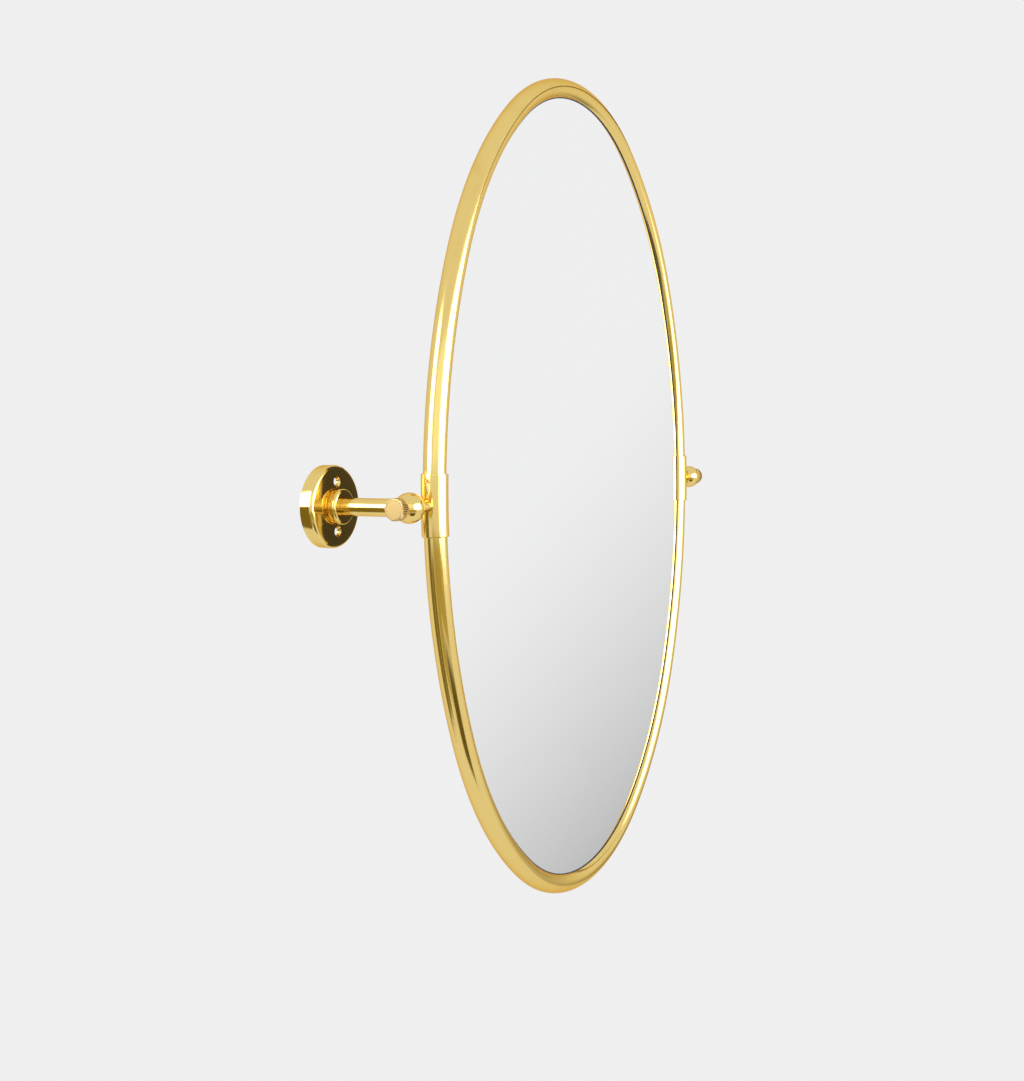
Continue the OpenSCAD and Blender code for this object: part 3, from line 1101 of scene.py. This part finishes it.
@dataclass
class ThumbNut:
    """The round nut on the pin's end, and the washer under it.

    Attributes:
        side: The side of the mirror.
        seat: Where the nut starts, from the mirror's middle.
        radius: Its radius.
        height: Its height.
        neck: The radius of its neck.
        step: The height of its neck.
        blind: The depth of its thread.
        ridges: How many ridges its rim has.
        depth: The depth of the grooves between them.
        washer: The washer's thickness.
    """

    side: Side
    seat: float = 287.0
    radius: float = 8.0
    height: float = 9.0
    neck: float = 5.0
    step: float = 1.5
    blind: float = 7.0
    ridges: int = 38
    depth: float = 0.6
    washer: float = 0.95

    def nut(self) -> Workpiece:
        """Turns the nut and cuts its rim.

        Returns:
            The workpiece.
        """
        shape = (0.0, 0.0, 0.45, 1.0, 1.0, 0.45)
        around = len(shape) * self.ridges
        bore, neck, rim, top = THREAD + CLEAR, self.neck, self.radius, self.height
        made = Workpiece(0, self.blind).line((bore, self.blind), (bore, 0.2), (bore + 0.2, 0))
        made.line((neck - 0.15, 0), (neck, 0.15), (neck, self.step), (rim - 0.6, self.step))
        made.line((rim, self.step + 0.6), (rim, top - 0.6), (rim - 0.55, top - 0.05))
        made.arc(rim - 0.7, top - 0.2, 45, 2).line((rim - 1.15, top), (rim - 1.28, top - 0.12))
        made.line((rim - 1.42, top - 0.12), (rim - 1.55, top), (3, top), (0, top)).turn(around)
        depths = made.mesh.verts.layers.float.new(GROOVE)
        for vertex in made.mesh.verts:
            radius = math.hypot(vertex.co.x, vertex.co.y)
            if radius > rim - 0.1:
                turn = math.atan2(vertex.co.y, vertex.co.x) / (2 * math.pi)
                share = shape[round(turn * around) % len(shape)]
                shrink = (radius - share * self.depth) / radius
                vertex[depths] = share
                bmesh.ops.scale(made.mesh, vec=(shrink, shrink, 1), verts=[vertex])
        return made.place(outwards(self.side, self.seat))

    def build(self) -> None:
        """Makes and dresses both pieces."""
        tag, rule = self.side.tag, pivot_grain()
        Bench.hand_over("thumb_nut_" + tag, self.nut(), "thumb_nut_" + tag, Slot.KNURLED, rule,
                        crease=28.0)
        ring = washer(THREAD + CLEAR, 4.8, self.washer)
        ring.place(outwards(self.side, self.seat - self.washer))
        Bench.hand_over("outer_washer_" + tag, ring, "washer_" + tag, Slot.TURNED, rule)


# ---------------------------------------------------------------- wall brackets


@dataclass
class WallBracket:
    """A wall rose with its collar, arm and ball, and the nut that holds the arm.

    Attributes:
        side: The side of the mirror.
        pivot: The arm's place, from the mirror's middle.
        rose: The rose's radius.
        depth: The rose's depth.
        front: The thickness of the rose's front.
        rim: The thickness of its rim.
        arm: The arm's radius.
        wall: The thickness of the arm's wall.
        arm_end: The arm's length from the wall.
        ball: The ball's radius.
        ball_flat: How far the ball's flats are from its middle.
        screws: The height of the screw holes above and below the arm.
        hole: The radius of the screw holes.
        sink: The radius of their countersinks.
        dome: How far the rose's front swells out between its edge and the collar.
        collar_width: The collar's radius.
        collar_height: The collar's height.
    """

    side: Side
    pivot: float = 276.0
    rose: float = 30.0
    depth: float = 11.5
    front: float = 2.5
    rim: float = 2.2
    arm: float = 6.5
    wall: float = 1.5
    arm_end: float = 63.126
    ball: float = 11.0
    ball_flat: float = 10.0
    screws: float = 18.0
    hole: float = 2.5
    sink: float = 4.2
    dome: float = 0.7
    collar_width: float = 13.0
    collar_height: float = 6.5

    @property
    def arm_hole(self) -> float:
        """The radius of the holes that the arm goes through."""
        return self.arm + CLEAR

    def from_wall(self, distance: float = 0.0, level: float = 0.0) -> Matrix:
        """Stands a piece that was turned about Z out of the wall, at a distance from it."""
        turn = Matrix.Rotation(math.radians(90), 4, "X")
        return Matrix.Translation((self.side.value * self.pivot, -distance, level)) @ turn

    def arm_grain(self) -> GrainRule:
        """The rule for pieces turned about the arm."""
        return turned_grain(Vector((self.side.value * self.pivot, 0, 0)), Vector((0, 1, 0)))

    def drawn_grain(self, point: Vector) -> Vector:
        """The rule for the arm, whose lines run along it."""
        return Vector((point.x - self.side.value * self.pivot, point.z, point.y))

    def hand_over(self, name: str, made: Workpiece, slot: Slot, rule: GrainRule,
                  *cutters: Workpiece) -> None:
        """Hands over a piece of this bracket."""
        Bench.hand_over(f"{name}_{self.side.tag}", made, "wall_brackets", slot, rule, list(cutters))

    def wall_rose(self) -> None:
        """Makes the rose, hollow behind, with two countersunk holes."""
        edge, bore, inner = 3.0, self.arm_hole, self.rose - self.rim
        back, low = self.depth - self.front, self.depth - edge - self.dome
        lean = math.asin(self.dome * 2 / (self.rose - edge - self.collar_width))
        made = Workpiece(inner, 0).line((self.rose - 0.3, 0), (self.rose, 0.3), (self.rose, low))
        made.arc(self.rose - edge, low, 90 - math.degrees(lean), 12)
        swell = (made.tip.co.x - self.collar_width) / math.sin(lean)
        level = made.tip.co.z + swell * (1 - math.cos(lean))
        made.arc(self.collar_width, level - swell, math.degrees(lean), 12)
        made.line((bore, level), (bore, back), (inner - 1, back))
        made.arc(inner - 1, back - 1, -90, 4).close().turn(160).place(self.from_wall())
        cutters = []
        for height in (self.screws, -self.screws):
            drill = Workpiece(0, 5).line((self.hole, 5), (self.hole, self.depth - self.sink + self.hole))
            drill.line((self.sink, self.depth), (self.sink + 1, self.depth + 1), (0, self.depth + 1))
            cutters.append(drill.turn(64).place(self.from_wall(0.0, height)))
        self.hand_over("wall_rose", made, Slot.POLISHED, self.arm_grain(), *cutters)

    def collar(self) -> None:
        """Makes the collar, with a hollow round its foot and a rounded front edge."""
        width, top, bore = self.collar_width, self.collar_height, self.arm_hole
        edge, cove, beyond = 2.2, 2.9, 0.29
        made = Workpiece(bore, 0).line((width + beyond - cove, 0))
        made.arc(width + beyond, 0, math.degrees(math.asin(beyond / cove)) - 90, 10)
        made.line((width, top - edge)).arc(width - edge, top - edge, 90, 10)
        made.line((bore + 0.4, top), (bore, top - 0.4)).close().turn(128)
        lip = math.sqrt(cove**2 - beyond**2)

        def on_lip(edge: bmesh.types.BMEdge) -> bool:
            """True for an edge of the lip between the hollow and the side."""
            return all(math.hypot(math.hypot(v.co.x, v.co.y) - width, v.co.z - lip) < 0.05
                       for v in edge.verts)

        made.soften(on_lip, 0.8, 5).place(self.from_wall(self.depth))
        self.hand_over("arm_collar", made, Slot.POLISHED, self.arm_grain())

    def tube(self) -> None:
        """Makes the arm."""
        start, end, arm, bore = 1.5, self.arm_end, self.arm, self.arm - self.wall
        made = Workpiece(bore, start).line((arm - 0.2, start), (arm, start + 0.2), (arm, 20))
        made.line((arm, 40), (arm, end - 0.12), (arm - 0.12, end), (bore, end)).close().turn(128)
        self.hand_over("arm_tube", made.place(self.from_wall()), Slot.SATIN, self.drawn_grain)

    def pivot_ball(self) -> None:
        """Makes the ball, with its two flats, its bore and the seat of the arm."""
        flat, bore = self.ball_flat, PIN + CLEAR
        rim = math.sqrt(self.ball**2 - flat**2)
        made = Workpiece(bore, -flat).line((rim, -flat))
        made.arc(0, 0, 2 * math.degrees(math.atan2(flat, rim)), 56).line((bore, flat))
        made.close().turn(112).place(outwards(self.side, self.pivot))
        made.slice(Vector((0, -self.arm_end, 0)), Vector((0, 1, 0)))
        self.hand_over("pivot_ball", made, Slot.POLISHED, pivot_grain())

    def fixings(self) -> None:
        """Makes the washer and the nut that hold the arm inside the rose."""
        ring = washer(self.arm_hole, 10.0, 1.0).place(self.from_wall(8.0))
        self.hand_over("lock_washer", ring, Slot.TURNED, self.arm_grain())
        across, face, top, bore = 9.5, 9.3, 5.0, self.arm_hole
        corner = across / math.cos(math.radians(30))
        made = Workpiece(bore, 0.4).line((bore + 0.4, 0), (face, 0), (corner, 0.9))
        made.line((corner, top - 0.9), (face, top), (bore + 0.4, top), (bore, top - 0.4))
        made.close().turn(96)
        for count in range(6):
            angle = math.radians(60 * count + 30)
            away = Vector((math.cos(angle), math.sin(angle), 0))
            made.slice(across * away, away)
        made.place(self.from_wall(3.0))
        self.hand_over("lock_nut", made, Slot.TURNED, self.arm_grain())

    def build(self) -> None:
        """Makes and dresses all its pieces."""
        self.wall_rose()
        self.collar()
        self.tube()
        self.pivot_ball()
        self.fixings()


# ---------------------------------------------------------------- studio


@dataclass(frozen=True)
class Card:
    """An upright card that faces the mirror and gives or holds back light.

    Attributes:
        name: Its name.
        bearing: Its direction from the mirror, from +X towards +Y, in degrees.
        spread: Half the angle that it covers from side to side, in degrees.
        low: The lower edge's elevation, in degrees.
        high: The upper edge's elevation, in degrees.
        colour: Its brightness in red, green and blue.
        soft: The shares of its half width, its top and its foot that fade into the room.
        distance: Its distance, in metres.
    """

    name: str
    bearing: float
    spread: float
    low: float
    high: float
    colour: tuple[float, float, float]
    soft: tuple[float, float, float]
    distance: float = 1.9

    def shape(self) -> Matrix:
        """Works out where the card stands.

        Returns:
            The matrix that takes a square from -1 to 1 to the card.
        """
        turn = math.radians(self.bearing)
        away = Vector((math.cos(turn), math.sin(turn), 0))
        half = self.distance * math.tan(math.radians(self.spread))
        low, high = (self.distance * math.tan(math.radians(a)) for a in (self.low, self.high))
        across = Vector((-away.y, away.x, 0)) * half
        tall = Vector((0, 0, (high - low) / 2))
        made = Matrix((across, tall, away)).transposed().to_4x4()
        made.translation = away * self.distance + Vector((0, -0.07, (high + low) / 2))
        return made

    def share(self, across: float, tall: float) -> float:
        """Works out how much of the card shows at one point.

        Args:
            across: The place from side to side, from -1 to 1.
            tall: The place from the foot to the top, from -1 to 1.

        Returns:
            From 0, where only the room shows, to 1.
        """
        side, top, foot = self.soft
        made = 1.0
        for left, width in ((1 - abs(across), side), (1 - tall, top), (1 + tall, foot)):
            made *= min(1.0, left / width) if width > 0 else 1.0
        return made * made * (3 - 2 * made)

    def shade(self, across: float, tall: float, room: float) -> tuple[float, float, float]:
        """Works out the brightness at one point.

        Args:
            across: The place from side to side, from -1 to 1.
            tall: The place from the foot to the top, from -1 to 1.
            room: The brightness of the room, which the card fades into.

        Returns:
            The brightness in red, green and blue.
        """
        share = self.share(across, tall)
        return tuple(room + share * (part - room) for part in self.colour)


@dataclass(frozen=True)
class FadingCard(Card):
    """A grey card that darkens downwards and towards one side.

    Attributes:
        start: The level where it starts to darken, in metres.
        rate: How much it has darkened a metre further.
        bend: How the darkening speeds up.
        lean: How far the bands of equal grey lean.
    """

    start: float = -0.05
    rate: float = 0.25
    bend: float = 1.6
    lean: float = 1.1

    def shade(self, across: float, tall: float, room: float) -> tuple[float, float, float]:
        """Works out the brightness at one point, by height and by side.

        Args:
            across: The place from side to side, from -1 to 1.
            tall: The place from the foot to the top, from -1 to 1.
            room: The brightness of the room.

        Returns:
            The brightness in red, green and blue.
        """
        place = self.shape() @ Vector((across, tall, 0))
        half = self.distance * math.tan(math.radians(self.spread))
        gone = max(0.0, self.start - place.z + self.lean * half * across)
        grey = max(0.3, room - self.rate * gone**self.bend * self.share(across, tall))
        return (grey, grey, grey)


CARDS = (
    Card("side_light", 157, 18, 2, 36, (6.0, 6.0, 6.0), (0.35, 0.4, 0.0)),
    Card("side_dark", 146, 15, -48, 2, (0.21, 0.16, 0.02), (0.2, 0.0, 0.25)),
    Card("side_dusk", 168, 13, -48, -10, (0.21, 0.16, 0.02), (0.2, 0.2, 0.25), 1.95),
    Card("front_light", 272, 35, -11, 31, (6.5, 6.5, 6.5), (0.4, 0.35, 0.3)),
    Card("front_fill", 212, 30, 2, 30, (1.15, 1.2, 1.15), (0.3, 0.3, 0.3), 2.2),
    Card("front_shade", 222, 42, -46, -8, (0.46, 0.38, 0.12), (0.2, 0.1, 0.25), 2.1),
    Card("front_dark", 235, 25, -58, -26, (0.12, 0.09, 0.0), (0.25, 0.3, 0.3)),
    Card("cornice", -18, 36, 18.0, 24.0, (0.22, 0.16, 0.02), (0.1, 0.5, 0.5), 8.0),
    FadingCard("grey_card", -27.8, 26, -36, 14, (1, 1, 1), (0.4, 0.2, 0.5), 2.5),
)


@dataclass
class Studio:
    """The pale room, its soft lights, the darker room behind them and the camera.

    Attributes:
        pale: The brightness of the room.
        floor: The height of the floor, in metres.
        eye: The camera's place, in metres.
        gaze: Its turn from +Y towards +X, its tilt upwards and its roll, in degrees.
        film: The width of its film, in millimetres.
        lens: Its focal length, in millimetres.
        shift: How far its film is moved up, as a share of the film's longer side.
    """

    pale: float = 0.866
    floor: float = -2.6
    eye: tuple[float, float, float] = (-1.096303, -0.58556, 0.05859)
    gaze: tuple[float, float, float] = (62.204, -2.98, -0.68)
    film: float = 36.0
    lens: float = 46.155031
    shift: float = -0.04209066

    def room(self) -> None:
        """Makes the pale surroundings."""
        world = bpy.data.worlds.new("pale_room")
        world.use_nodes = True
        shade = world.node_tree.nodes["Background"]
        shade.inputs["Color"].default_value = (1, 1, 1, 1)
        shade.inputs["Strength"].default_value = self.pale
        bpy.context.scene.world = world
        bpy.context.scene.view_settings.view_transform = "Standard"

    def glow(self) -> bpy.types.Material:
        """Makes the material of all cards, whose brightness is kept with their points.

        Returns:
            The material.
        """
        made = bpy.data.materials.new(GLOW)
        made.use_nodes = True
        made.node_tree.nodes.clear()
        wiring = Wiring(made.node_tree)
        kept = wiring.node("Attribute", {}, attribute_name=GLOW)
        light = wiring.node("Emission", {"Color": kept.outputs["Vector"]})
        wiring.node("OutputMaterial", {"Surface": light.outputs[0]})
        return made

    def sheet(self, name: str, shape: Matrix, material: bpy.types.Material, steps: int,
              shade: Callable[[float, float], tuple[float, float, float]], seen: bool) -> None:
        """Stands a flat sheet in the studio.

        Args:
            name: Its name.
            shape: Takes a square from -1 to 1 to its place.
            material: Its material.
            steps: How many squares it has each way.
            shade: Gives its brightness at a point of the square.
            seen: True if the camera may see it.
        """
        work = bmesh.new()
        bmesh.ops.create_grid(work, x_segments=steps, y_segments=steps, size=1.0)
        levels = [part for v in work.verts for part in shade(v.co.x, v.co.y)]
        bmesh.ops.transform(work, matrix=shape, verts=work.verts)
        mesh = bpy.data.meshes.new(name)
        work.to_mesh(mesh)
        work.free()
        mesh.attributes.new(GLOW, "FLOAT_VECTOR", "POINT").data.foreach_set("vector", levels)
        mesh.materials.append(material)
        made = bpy.data.objects.new(name, mesh)
        bpy.context.scene.collection.objects.link(made)
        made.visible_camera = seen
        made.visible_shadow = False

    def camera(self) -> None:
        """Stands the camera to the left of the mirror, just above its middle."""
        yaw, pitch, roll = (math.radians(a) for a in self.gaze)
        ahead = Vector((math.sin(yaw) * math.cos(pitch), math.cos(yaw) * math.cos(pitch),
                        math.sin(pitch)))
        level = ahead.cross(Vector((0, 0, 1))).normalized()
        above = level.cross(ahead)
        right = math.cos(roll) * level + math.sin(roll) * above
        up = math.cos(roll) * above - math.sin(roll) * level
        data = bpy.data.cameras.new("camera")
        data.sensor_width = self.film
        data.lens = self.lens
        data.shift_y = self.shift
        made = bpy.data.objects.new("camera", data)
        place = Matrix((right, up, -ahead)).transposed().to_4x4()
        place.translation = Vector(self.eye)
        made.matrix_world = place
        bpy.context.scene.collection.objects.link(made)
        bpy.context.scene.camera = made

    def build(self) -> None:
        """Makes the whole studio."""
        self.room()
        glow = self.glow()
        ground = Matrix.Translation((0, 0, self.floor)) @ Matrix.Diagonal((30, 30, 1, 1))
        plain = (self.pale, self.pale, self.pale)
        self.sheet("floor", ground, glow, 1, lambda across, tall: plain, True)
        for card in CARDS:
            def shade(across: float, tall: float, card: Card = card) -> tuple:
                """The card's own brightness in this room."""
                return card.shade(across, tall, self.pale)

            self.sheet(card.name, card.shape(), glow, 24, shade, False)
        self.camera()


def main() -> None:
    """Builds the mirror, its brackets and the studio."""
    logging.basicConfig(level=logging.INFO, format="%(name)s: %(message)s")
    MirrorPack().build()
    for side in Side:
        SideJoint(side).build()
        ThumbNut(side).build()
        WallBracket(side).build()
    Studio().build()


if __name__ == "__main__":
    main()
